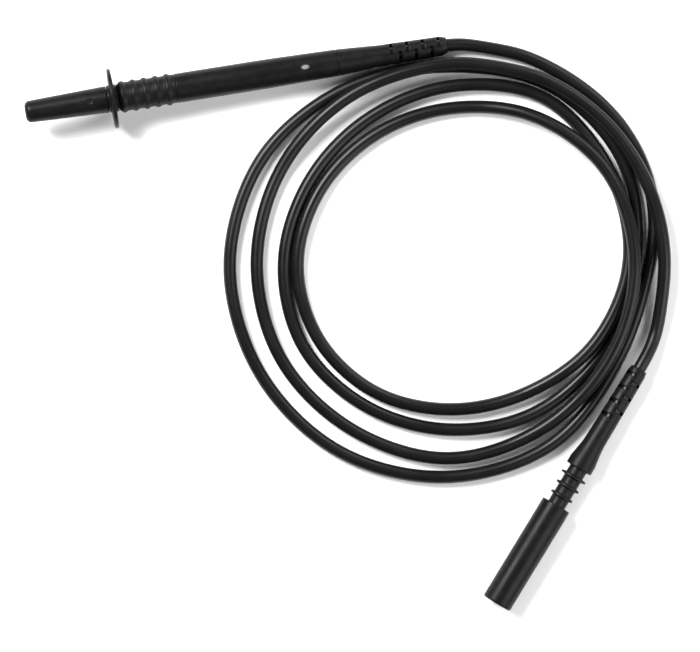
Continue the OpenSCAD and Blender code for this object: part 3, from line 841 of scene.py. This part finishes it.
def cord_tube(line, radius, sides, step):
    """A round tube along the line, closed at both ends, with a map of its turns and its length."""
    line, along = evenly(line, step)
    headings = np.gradient(line, axis=0)
    headings /= np.linalg.norm(headings, axis=1)[:, None]
    side = np.cross(headings[0], (0, 0, 1))
    angles = 2 * math.pi * np.arange(sides) / sides
    points = []
    for centre, heading in zip(line, headings):
        side = side - (side @ heading) * heading
        side /= np.linalg.norm(side)
        up = np.cross(side, heading)
        round_it = np.outer(np.cos(angles), side) + np.outer(np.sin(angles), up)
        points.append(centre + radius * round_it)
    faces, corners = [], []
    for i, (near, far) in enumerate(zip(along, along[1:])):
        for k in range(sides):
            n = (k + 1) % sides
            faces.append((i * sides + k, (i + 1) * sides + k, (i + 1) * sides + n, i * sides + n))
            first, second = k / sides, (k + 1) / sides
            corners += [(first, near), (first, far), (second, far), (second, near)]
    faces.append(tuple(range(sides)))
    faces.append(tuple((len(line) - 1) * sides + k for k in reversed(range(sides))))
    corners += [(k / sides, 0) for k in range(2 * sides)]
    mesh = bpy.data.meshes.new("cord")
    mesh.from_pydata(np.vstack(points).tolist(), [], faces)
    chart = mesh.uv_layers.new(name="UVMap")
    chart.data.foreach_set("uv", np.array(corners, np.float32).ravel())
    return mesh


# Operators, one for each piece or group of like pieces


class TESTLEAD_OT_add_cord(bpy.types.Operator):
    """Lays the cord from the probe round its coil to the plug"""

    bl_idname = "testlead.add_cord"
    bl_label = "Add cord"

    def execute(self, context):
        s = context.scene.testlead.cord
        line = cord_line(s.diameter)
        mesh = cord_tube(line, s.diameter / 2, s.sides, s.ring_step)
        material = cord_jacket("Cord jacket", s.jacket, 0.3, with_lines=True)
        cord = add_piece(
            "cord", mesh, ["probe_lead", "lead_coil", "plug_lead"], material
        )
        cord["line"] = line.ravel().tolist()
        return {"FINISHED"}


class TESTLEAD_OT_add_nose(bpy.types.Operator):
    """Turns the tip cover, and the point and core inside it"""

    bl_idname = "testlead.add_nose"
    bl_label = "Add nose"

    def execute(self, context):
        s = context.scene.testlead.probe
        plastic = moulded_plastic("Nose plastic", s.plastic, 0.34, GRAIN)
        front, back, _, root = PROBE.span("tip_cover")
        core_front, core_back, needle_bore, core_radius = PROBE.span("nose_core")
        bore, roof = core_radius - SEAM, core_front - MM
        wall, slope = 2 * MM, 0.3 * MM
        section = outline([
            (0, front, 0), (s.nose_radius, front, s.nose_rounding), (root, back, 0.2 * MM),
            (bore, back, 0.1 * MM), (bore, roof, 0), (bore - slope, roof - slope, 0),
            (bore - slope, front + wall, 0.3 * MM), (0, front + wall, 0),
        ], steps=9)
        mesh = turned("nose", section, sides=168, step=0.25 * MM, closed=False)
        outside, depth = bore + 0.4 * MM, 0.22 * MM
        press_mark(mesh, s.dimple_station, s.dimple_width, s.dimple_width, depth, outside)
        raise_flash(mesh, 0.03 * MM, outside)
        add_piece("nose_cover", mesh, ["tip_cover"], plastic, PROBE, body="cover")

        tip, tail, _, needle = PROBE.span("tip_needle")
        point, taper = 0.07 * MM, 4 * MM
        section = outline([
            (0, tip, 0), (point, tip, 0.05 * MM), (needle, tip + taper, 6 * MM),
            (needle, tail, 0.1 * MM), (0, tail, 0),
        ], steps=8)
        mesh = turned("point", section, 96, closed=False)
        steel = turned_metal("Ground steel", (0.62, 0.62, 0.63), 0.2)
        add_piece("test_point", mesh, ["tip_needle"], steel, PROBE)

        stem_front, _, _, stem_radius = PROBE.span("contact_stem")
        spigot_front = PROBE.span("handle_barrel")[0]
        nose_part, stem_bore = core_radius - 0.15 * MM, stem_radius + FIT
        section = outline([
            (needle_bore, core_front, 0), (nose_part, core_front, 0.35 * MM),
            (nose_part, spigot_front, 0), (core_radius, spigot_front, 0),
            (core_radius, core_back, 0.2 * MM), (stem_bore, core_back, 0),
            (stem_bore, stem_front - SEAM, 0), (needle_bore, stem_front - SEAM, 0),
        ])
        core = moulded_plastic("Core plastic", CORE_BLACK, 0.38, FINE_GRAIN)
        mesh = turned("core", section, 120)
        add_piece("core_spindle", mesh, ["nose_core"], core, PROBE)
        return {"FINISHED"}


class TESTLEAD_OT_add_guard(bpy.types.Operator):
    """Turns the finger guard with its hub"""

    bl_idname = "testlead.add_guard"
    bl_label = "Add finger guard"

    def execute(self, context):
        s = context.scene.testlead.probe
        front, back, bore, rim = PROBE.span("finger_guard")
        hub = PROBE.span("tip_cover")[3]
        middle, half, root = (front + back) / 2, s.guard_thickness / 2, s.guard_root / 2
        edge, fillet, roundness = 0.2 * MM, 0.6 * MM, 0.9
        section = outline([
            (bore, front, 0), (hub, front, edge), (hub, middle - root, fillet),
            (rim, middle - half, roundness * half), (rim, middle + half, roundness * half),
            (hub, middle + root, fillet), (hub, back, edge), (bore, back, 0),
        ], steps=7)
        plastic = moulded_plastic("Guard plastic", s.plastic, 0.33, GRAIN)
        mesh = turned("guard", section, sides=192, step=0.4 * MM)
        add_piece("guard_disc", mesh, ["finger_guard"], plastic, PROBE)
        return {"FINISHED"}


class TESTLEAD_OT_add_grip(bpy.types.Operator):
    """Turns the grip sleeve and raises its ribs"""

    bl_idname = "testlead.add_grip"
    bl_label = "Add grip"

    def execute(self, context):
        s = context.scene.testlead
        front, back, bore, ribs = PROBE.span("grip_sleeve")
        ground = ribs - s.probe.rib_height
        barrel = PROBE.span("handle_barrel")[3]
        rubber = soft_rubber("Grip rubber", s.relief.rubber, 0.4)
        lip, ramp, flare = bore + 0.3 * MM, 0.8 * MM, 0.5 * MM
        section = outline([
            (bore, front, 0), (lip, front, 0.1 * MM), (ground, front + ramp, 0.4 * MM),
            (ground, back - flare, 0.4 * MM), (barrel - FIT, back, 0.08 * MM), (bore, back, 0),
        ])
        mesh = grown(rib_tree(), {
            "Ribs": s.probe.rib_count, "First rib": front + s.probe.rib_first,
            "Pitch": s.probe.rib_pitch, "Height": s.probe.rib_height, "Width": s.probe.rib_width,
            "Least radius": lip + FIT, "Material": rubber,
        }, turned("grip", section, sides=144, step=0.12 * MM))
        add_piece("grip", mesh, ["grip_sleeve"], rubber, PROBE)
        return {"FINISHED"}


class TESTLEAD_OT_add_barrel(bpy.types.Operator):
    """Turns the barrel with its spigot, taper and gate mark"""

    bl_idname = "testlead.add_barrel"
    bl_label = "Add barrel"

    def execute(self, context):
        s = context.scene.testlead.probe
        front, back, bore, radius = PROBE.span("handle_barrel")
        grip_back, grip_bore = PROBE.span("grip_sleeve")[1:3]
        rear = PROBE.span("rear_boot")[3]
        spigot, shoulder = grip_bore - FIT, grip_back + SEAM
        section = outline([
            (bore, front, 0), (spigot, front, 0.15 * MM), (spigot, shoulder, 0),
            (radius, shoulder, 0.3 * MM), (radius, back - s.barrel_taper, 120 * MM),
            (rear, back, 0.25 * MM), (bore, back, 0),
        ], steps=8)
        mesh = turned("barrel", section, sides=168, step=0.35 * MM)
        outside, depth = bore + 0.5 * MM, 0.12 * MM
        # The gate mark is also painted pale, a painted highlight for the glint on it.
        press_mark(mesh, s.mark_station, s.mark_length, s.mark_width, depth, outside, painted_glint=True)
        raise_flash(mesh, 0.02 * MM, outside)
        plastic = moulded_plastic("Barrel plastic", s.plastic, 0.33, GRAIN)
        add_piece("barrel", mesh, ["handle_barrel"], plastic, PROBE)
        return {"FINISHED"}


def web_pair(half_span, radius, thickness, turn):
    """Two webs, one on either side of a cord, each flat inside and round outside."""
    blocks, steps = [], 12
    reach = math.acos(half_span / radius)
    arc = [radius * cmath.exp(1j * reach * k / steps) for k in range(-steps, steps + 1)]
    for side in (1, -1):
        rim = [side * cmath.exp(1j * turn) * p for p in arc]
        count = len(rim)
        points = [(p.real, p.imag, z) for z in (-thickness / 2, thickness / 2) for p in rim]
        faces = [tuple(reversed(range(count))), tuple(range(count, 2 * count))]
        faces += [(k, (k + 1) % count, count + (k + 1) % count, count + k) for k in range(count)]
        block = bpy.data.meshes.new("web")
        block.from_pydata(points, [], faces)
        blocks.append(block)
    return joined("webs", blocks)


def slotted_tail(settings, radii, end, bore, material):
    """A relief's rings, webs and end, behind its first slot, and the station where they begin."""
    first_radius, last_radius, end_radius = radii
    last_slot = end - settings.tail
    first_slot = last_slot - (settings.slot_count - 1) * settings.slot_pitch
    half_slot, half_ring = settings.slot_width / 2, (settings.slot_pitch - settings.slot_width) / 2
    ring = turned("ring", outline([
        (bore, -half_ring, 0), (first_radius, -half_ring, settings.edge),
        (first_radius, half_ring, settings.edge), (bore, half_ring, 0),
    ], steps=4), sides=96)
    inset, web_reach = 0.01 * MM, 1.1 * settings.edge
    webs = web_pair(
        last_radius - settings.web_wall, first_radius - inset,
        settings.slot_width + 2 * web_reach, settings.first_turn,
    )
    rows = []
    tree = row_tree()
    for block_mesh, count, first, turn in (
        (ring, settings.slot_count - 1, first_slot + settings.slot_pitch / 2, 0.0),
        (webs, settings.slot_count, first_slot, math.pi / 2),
    ):
        block = bpy.data.objects.new("block", block_mesh)
        bpy.context.scene.collection.objects.link(block)
        rows.append(grown(tree, {
            "Block": block, "Count": count, "First": first, "Pitch": settings.slot_pitch, "Turn": turn,
            "Bore": bore, "Block radius": first_radius, "Wide radius": first_radius,
            "Narrow radius": last_radius, "Wide station": first_slot,
            "Narrow station": last_slot + half_slot, "Material": material,
        }))
        bpy.data.objects.remove(block)
    tail = turned("tail", outline([
        (bore, last_slot + half_slot, 0), (last_radius, last_slot + half_slot, settings.edge),
        (end_radius, end, 0.45 * MM), (bore, end, 0),
    ]), sides=96)
    return [*rows, tail], first_slot - half_slot


class TESTLEAD_OT_add_reliefs(bpy.types.Operator):
    """Makes the slotted strain reliefs of the probe and of the plug"""

    bl_idname = "testlead.add_reliefs"
    bl_label = "Add strain reliefs"

    def execute(self, context):
        s = context.scene.testlead.relief
        rubber = soft_rubber("Relief rubber", s.rubber, 0.38)
        front, end, bore, root = PROBE.span("rear_boot")
        barrel_back, barrel_bore = PROBE.span("handle_barrel")[1:3]
        spigot, shoulder, lead = barrel_bore - FIT, barrel_back + SEAM, 2.5 * MM
        tail, slots_from = slotted_tail(s, s.boot_radii, end, bore, rubber)
        body = turned("boot", outline([
            (bore, front, 0), (spigot, front, 0.2 * MM), (spigot, shoulder, 0),
            (root, shoulder, 0.2 * MM), (s.boot_radii[0], slots_from - lead, 60 * MM),
            (s.boot_radii[0], slots_from, s.edge), (bore, slots_from, 0),
        ], steps=12), sides=120, step=0.8 * MM)
        mesh = joined("boot", [body, *tail])
        add_piece("probe_relief", mesh, ["rear_boot"], rubber, PROBE)

        front, end, bore, root = PLUG.span("plug_body")
        spigot_bore = context.scene.testlead.plug.spigot_radius + FIT
        spigot_end = PLUG.span("plug_neck")[1] + SEAM
        _, clamp_back, _, clamp = PLUG.span("plug_cord_clamp")
        cavity, cavity_back = clamp + FIT, clamp_back + 1.3 * MM
        tail, slots_from = slotted_tail(s, s.body_radii, end, bore, rubber)
        body = turned("body", outline([
            (spigot_bore, front, 0), (root, front, 0.4 * MM),
            (root, front + s.body_shoulder, 6 * MM), (s.waist_radius, front + s.body_waist, 30 * MM),
            (s.body_radii[0], slots_from, s.edge), (bore, slots_from, 0), (bore, cavity_back, 0),
            (cavity, cavity_back, 0), (cavity, spigot_end, 0), (spigot_bore, spigot_end, 0),
        ], steps=8), sides=120, step=0.8 * MM)
        mesh = joined("body", [body, *tail])
        add_piece("plug_relief", mesh, ["plug_body"], rubber, PLUG)
        return {"FINISHED"}


class TESTLEAD_OT_add_sheath(bpy.types.Operator):
    """Turns the plug's sliding sheath"""

    bl_idname = "testlead.add_sheath"
    bl_label = "Add sheath"

    def execute(self, context):
        s = context.scene.testlead
        front, back, _, radius = PLUG.span("plug_sheath")
        skirt = PLUG.span("sheath_ring")[3] + FIT
        mouth, depth = s.plug.mouth_radius, s.plug.mouth_depth
        section = outline([
            (mouth, front, 0.14 * MM), (radius, front, s.plug.mouth_rounding),
            (radius, back, s.plug.skirt_rounding), (skirt, back, 0.09 * MM), (skirt, depth, 0),
            (mouth, depth, 0),
        ], steps=7)
        mesh = turned("sheath", section, sides=168, step=0.5 * MM)
        outside = skirt + 0.3 * MM
        raise_flash(mesh, 0.02 * MM, outside)
        plastic = moulded_plastic("Sheath plastic", s.probe.plastic, 0.34, GRAIN)
        add_piece(
            "sheath_shell", mesh, ["plug_sheath"], plastic, PLUG, body="sheath"
        )
        return {"FINISHED"}


def leaf_mesh(radius, bulge, thickness, half_angle, start, end):
    """One leaf of the cage, thin and curved, standing out and narrowing in its middle."""
    across, along, narrowing = 8, 18, 0.22
    points = []
    for depth in (0, thickness):
        for i in range(along + 1):
            share = i / along
            crown = math.sin(math.pi * share) ** 2
            distance = radius + bulge * crown - depth
            station = start + (end - start) * share
            for k in range(across + 1):
                angle = half_angle * (1 - narrowing * crown) * (2 * k / across - 1)
                points.append((distance * math.cos(angle), distance * math.sin(angle), station))
    row, layer = across + 1, (across + 1) * (along + 1)
    faces = []
    for i in range(along):
        for k in range(across):
            a = i * row + k
            faces.append((a, a + 1, a + row + 1, a + row))
            faces.append((layer + a, layer + a + row, layer + a + row + 1, layer + a + 1))
    rim = list(range(row)) + [i * row + across for i in range(1, along + 1)]
    rim += [along * row + k for k in reversed(range(across))]
    rim += [i * row for i in reversed(range(1, along))]
    faces += [(b, a, layer + a, layer + b) for a, b in zip(rim, rim[1:] + rim[:1])]
    mesh = bpy.data.meshes.new("leaf")
    mesh.from_pydata(points, [], faces)
    return mesh


class TESTLEAD_OT_add_contact(bpy.types.Operator):
    """Turns the contact pin and sets the sprung leaves round it"""

    bl_idname = "testlead.add_contact"
    bl_label = "Add contact"

    def execute(self, context):
        s = context.scene.testlead.plug
        nickel = turned_metal("Nickel plate", s.nickel, 0.24)
        gold = turned_metal("Gold plate", s.gold, 0.28)
        front, back, _, radius = PLUG.span("plug_pin")
        cage_front, cage_back, inside, cage_radius = PLUG.span("contact_cage")
        neck_back, neck_bore = PLUG.span("plug_neck")[1:3]
        shank, waist = neck_bore - FIT, inside - FIT
        tail = PLUG.span("plug_crimp")[2] - FIT
        nose, shoulder_back = 0.9 * MM, PLUG.span("sheath_ring")[0] - 0.15 * MM
        section = outline([
            (0, front, 0), (radius / 2, front, 0.5 * MM), (radius, front + nose, 0.5 * MM),
            (radius, cage_front - FIT, 0.1 * MM), (waist, cage_front - FIT, 0),
            (waist, cage_back + FIT, 0), (radius, cage_back + FIT, 0.1 * MM),
            (radius, shoulder_back, 0.15 * MM), (shank, shoulder_back, 0), (shank, neck_back, 0),
            (tail, neck_back, 0), (tail, back, 0.15 * MM), (0, back, 0),
        ])
        mesh = turned("pin", section, 96, closed=False)
        add_piece("contact_pin", mesh, ["plug_pin"], nickel, PLUG)

        wall = cage_radius - inside
        ground = cage_radius - s.leaf_bulge / 2
        leaf_length = (cage_back - cage_front - 3 * s.band) / 2
        row_pitch = leaf_length + s.band
        half_angle = math.pi / s.leaf_count - s.leaf_gap / 2 / cage_radius
        lap, rows = 0.1 * MM, 2
        start = cage_front + s.band - lap
        leaf = bpy.data.objects.new("leaf", leaf_mesh(
            ground, s.leaf_bulge, wall - s.leaf_bulge / 2, half_angle, start,
            start + leaf_length + 2 * lap,
        ))
        bpy.context.scene.collection.objects.link(leaf)
        leaves = grown(leaf_tree(), {
            "Leaf": leaf, "Leaves": s.leaf_count, "Rows": rows, "Row pitch": row_pitch,
            "Material": gold,
        })
        bpy.data.objects.remove(leaf)
        bands, over = [], ground + 0.01 * MM
        for k in range(rows + 1):
            near = cage_front + k * row_pitch
            far = near + s.band
            bands.append(turned("band", outline([
                (inside, near, 0), (over, near, 0.05 * MM), (over, far, 0.05 * MM), (inside, far, 0),
            ], steps=3), sides=96))
        mesh = joined("leaves", [leaves, *bands])
        add_piece("spring_leaves", mesh, ["contact_cage"], gold, PLUG)
        return {"FINISHED"}


class TESTLEAD_OT_add_neck(bpy.types.Operator):
    """Turns the finned neck and winds the spring inside it"""

    bl_idname = "testlead.add_neck"
    bl_label = "Add neck and spring"

    def execute(self, context):
        s = context.scene.testlead.plug
        front, back, shank_bore, _ = PLUG.span("plug_neck")
        sheath_back = PLUG.span("plug_sheath")[1]
        body_front = PLUG.span("plug_body")[0]
        spring_front, spring_back, spring_inside, spring_outside = PLUG.span("sheath_spring")
        seat, spring_bore = spring_back + FIT, spring_outside + 0.13 * MM
        neck, spigot, shoulder = s.neck_radius, s.spigot_radius, body_front - SEAM
        corners = [(spring_bore, front, 0), (neck, front, 0.15 * MM)]
        for k, fin in enumerate(s.fin_radii):
            middle = sheath_back + s.fin_first + k * s.fin_pitch
            corners += [
                (neck, middle - s.fin_foot / 2, 0.2 * MM), (fin, middle - s.fin_rim / 2, 0.08 * MM),
                (fin, middle + s.fin_rim / 2, 0.08 * MM), (neck, middle + s.fin_foot / 2, 0.2 * MM),
            ]
        corners += [
            (neck, shoulder, 0), (spigot, shoulder, 0), (spigot, back, 0.2 * MM),
            (shank_bore, back, 0), (shank_bore, seat, 0), (spring_bore, seat, 0),
        ]
        plastic = moulded_plastic("Neck plastic", NECK_BLACK, 0.36, FINE_GRAIN)
        mesh = turned("neck", outline(corners, steps=4), sides=168, step=0.6 * MM)
        add_piece("finned_neck", mesh, ["plug_neck"], plastic, PLUG)

        radius = (spring_outside - spring_inside) / 2
        steel = turned_metal("Spring wire", (0.55, 0.55, 0.56), 0.3, (1, 1, 4))
        spring_length = spring_back - spring_front
        mesh = grown(spring_tree(), {
            "Turns": s.spring_turns, "Steps": s.spring_steps, "Radius": spring_outside - radius,
            "Wire radius": radius, "Start": spring_front + radius,
            "Length": spring_length - 2 * radius, "Material": steel,
        })
        spring = add_piece(
            "return_spring", mesh, ["sheath_spring"], steel, PLUG
        )
        travel = next(j["range_m"][1] for j in frame["joints"] if j["name"] == "sheath_slide")
        (spring_length - travel) / spring_length
        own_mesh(spring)
        return {"FINISHED"}


class TESTLEAD_OT_finish_inner_parts(bpy.types.Operator):
    """Gives the parts that the mouldings hide their own finishes"""

    bl_idname = "testlead.finish_inner_parts"
    bl_label = "Finish inner parts"

    def execute(self, context):
        s = context.scene.testlead
        nickel = turned_metal("Inner nickel", s.plug.nickel, 0.28)
        jacket = cord_jacket("Inner jacket", s.cord.jacket, 0.32, with_lines=False)
        copper = copper_strands("Copper strands", (0.8, 0.45, 0.3))
        finishes = {
            "contact_stem": nickel, "probe_cord_clamp": nickel, "plug_crimp": nickel,
            "plug_cord_clamp": nickel, "probe_cord_end": jacket, "plug_cord_end": jacket,
            "probe_wire_end": copper, "plug_wire_end": copper,
            "solder_sleeve": clear_sleeve("Clear sleeve", (0.75, 0.74, 0.7)),
            "sheath_ring": moulded_plastic("Ring plastic", CORE_BLACK, 0.38, FINE_GRAIN),
        }
        for node, material in finishes.items():
            mesh = frame["nodes"][node].data
            mesh.materials.clear()
            mesh.materials.append(material)
        return {"FINISHED"}


def area_light(name, energy, size, target, offset):
    """A square soft light that stands off from its target and faces it."""
    lamp = bpy.data.lights.new(name, "AREA")
    lamp.energy, lamp.size = energy, size
    light = bpy.data.objects.new(name, lamp)
    light.location = target + Vector(offset)
    light.rotation_euler = (-Vector(offset)).to_track_quat("-Z", "Y").to_euler()
    bpy.context.scene.collection.objects.link(light)


class TESTLEAD_OT_set_stage(bpy.types.Operator):
    """Sets the floor, the soft lights and the camera"""

    bl_idname = "testlead.set_stage"
    bl_label = "Set stage"

    def execute(self, context):
        scene, s = context.scene, context.scene.testlead.stage
        low, high = CAD_BOX
        half, lens, film = 2.5, 250, 36
        middle = Vector((*s.view_centre, 0))
        mesh = bpy.data.meshes.new("floor")
        mesh.from_pydata(
            [(middle.x + half * x, middle.y + half * y, low.z) for x, y in
             ((-1, -1), (1, -1), (1, 1), (-1, 1))],
            [], [(0, 1, 2, 3)],
        )
        paper = Finish("Pale floor", s.floor, 0.8, Specular_IOR_Level=0.2)
        paper.mottle(paper.ranged(paper.noise(6, 2), 0, 0.3), [0.97 * c for c in s.floor])
        mesh.materials.append(paper.material)
        floor = bpy.data.objects.new("floor", mesh)
        scene.collection.objects.link(floor)

        world = bpy.data.worlds.new("Pale room")
        world.use_nodes = True
        background = world.node_tree.nodes["Background"]
        background.inputs["Color"].default_value = (1, 1, 1, 1)
        background.inputs["Strength"].default_value = 0.1
        scene.world = world
        area_light("key", 28.0, 0.5, middle, (-0.45, 0.6, 0.8))
        area_light("fill", 16.0, 1.0, middle, (0.8, -0.55, 0.75))
        area_light("side", 8.0, 0.7, middle, (0.75, 0.7, 0.6))

        data = bpy.data.cameras.new("camera")
        data.lens, data.sensor_width = lens, film
        distance = s.view_width * lens / film
        data.clip_start, data.clip_end = 0.05, 20
        camera = bpy.data.objects.new("camera", data)
        camera.location = middle + Vector((0, 0, high.z / 2 + distance))
        camera.rotation_euler = (0, 0, s.view_turn)
        scene.collection.objects.link(camera)
        scene.camera = camera
        scene.view_settings.view_transform = "Standard"
        return {"FINISHED"}


class TESTLEAD_PT_panel(bpy.types.Panel):
    """Lists the test lead's pieces and their sizes"""

    bl_label = "Test lead"
    bl_idname = "TESTLEAD_PT_panel"
    bl_space_type = "VIEW_3D"
    bl_region_type = "UI"
    bl_category = "Test lead"

    def draw(self, context):
        settings = context.scene.testlead
        for operator in OPERATORS:
            self.layout.operator(operator.bl_idname)
        for group in (settings.cord, settings.probe, settings.relief, settings.plug, settings.stage):
            box = self.layout.box()
            for name in group.__annotations__:
                box.prop(group, name)


OPERATORS = (
    TESTLEAD_OT_set_stage,
    TESTLEAD_OT_add_cord,
    TESTLEAD_OT_add_nose,
    TESTLEAD_OT_add_guard,
    TESTLEAD_OT_add_grip,
    TESTLEAD_OT_add_barrel,
    TESTLEAD_OT_add_reliefs,
    TESTLEAD_OT_add_sheath,
    TESTLEAD_OT_add_contact,
    TESTLEAD_OT_add_neck,
    TESTLEAD_OT_finish_inner_parts,
)
CLASSES = (
    TESTLEAD_CordSettings,
    TESTLEAD_ProbeSettings,
    TESTLEAD_ReliefSettings,
    TESTLEAD_PlugSettings,
    TESTLEAD_StageSettings,
    TESTLEAD_Settings,
    *OPERATORS,
    TESTLEAD_PT_panel,
)


def register():
    for cls in CLASSES:
        bpy.utils.register_class(cls)
    bpy.types.Scene.testlead = PointerProperty(type=TESTLEAD_Settings)


def unregister():
    del bpy.types.Scene.testlead
    for cls in reversed(CLASSES):
        bpy.utils.unregister_class(cls)


def declare_cord():
    """Takes the stored centreline off the cord."""
    cord = bpy.data.objects["cord"]
    del cord["line"]


def main():
    register()
    for operator in OPERATORS:
        group, name = operator.bl_idname.split(".")
        getattr(getattr(bpy.ops, group), name)()
    declare_cord()


if __name__ == "__main__":
    main()
